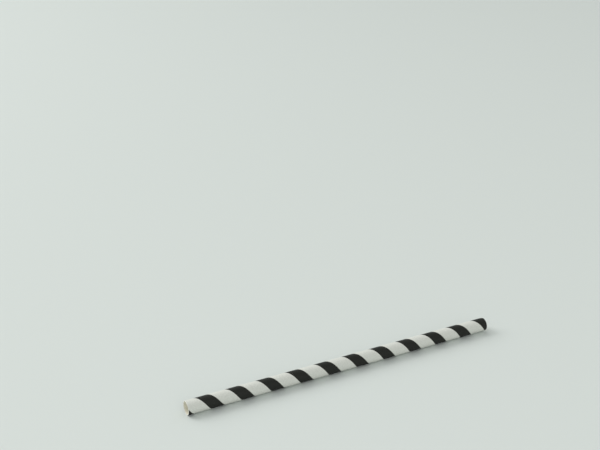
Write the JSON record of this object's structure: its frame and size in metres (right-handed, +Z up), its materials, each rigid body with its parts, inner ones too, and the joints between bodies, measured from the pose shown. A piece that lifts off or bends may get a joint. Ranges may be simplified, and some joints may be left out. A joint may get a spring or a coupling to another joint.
{
  "type": "paper drinking straw",
  "caption": "Straight paper drinking straw with square-cut ends, wound in a helix from glued strip, white with a broad black spiral stripe, lying on its side.",
  "frame": {"origin": "on the table under the middle of the straw, where its wall touches", "axes": "+X along the straw, +Z up from the table, +Y level across the straw"},
  "size_m": [0.197, 0.008, 0.008],
  "materials": {
    "paper": "matte uncoated white paper with a printed black spiral stripe"
  },
  "bodies": {
    "root": {"paper_tube": "paper"}
  },
  "joints": []
}
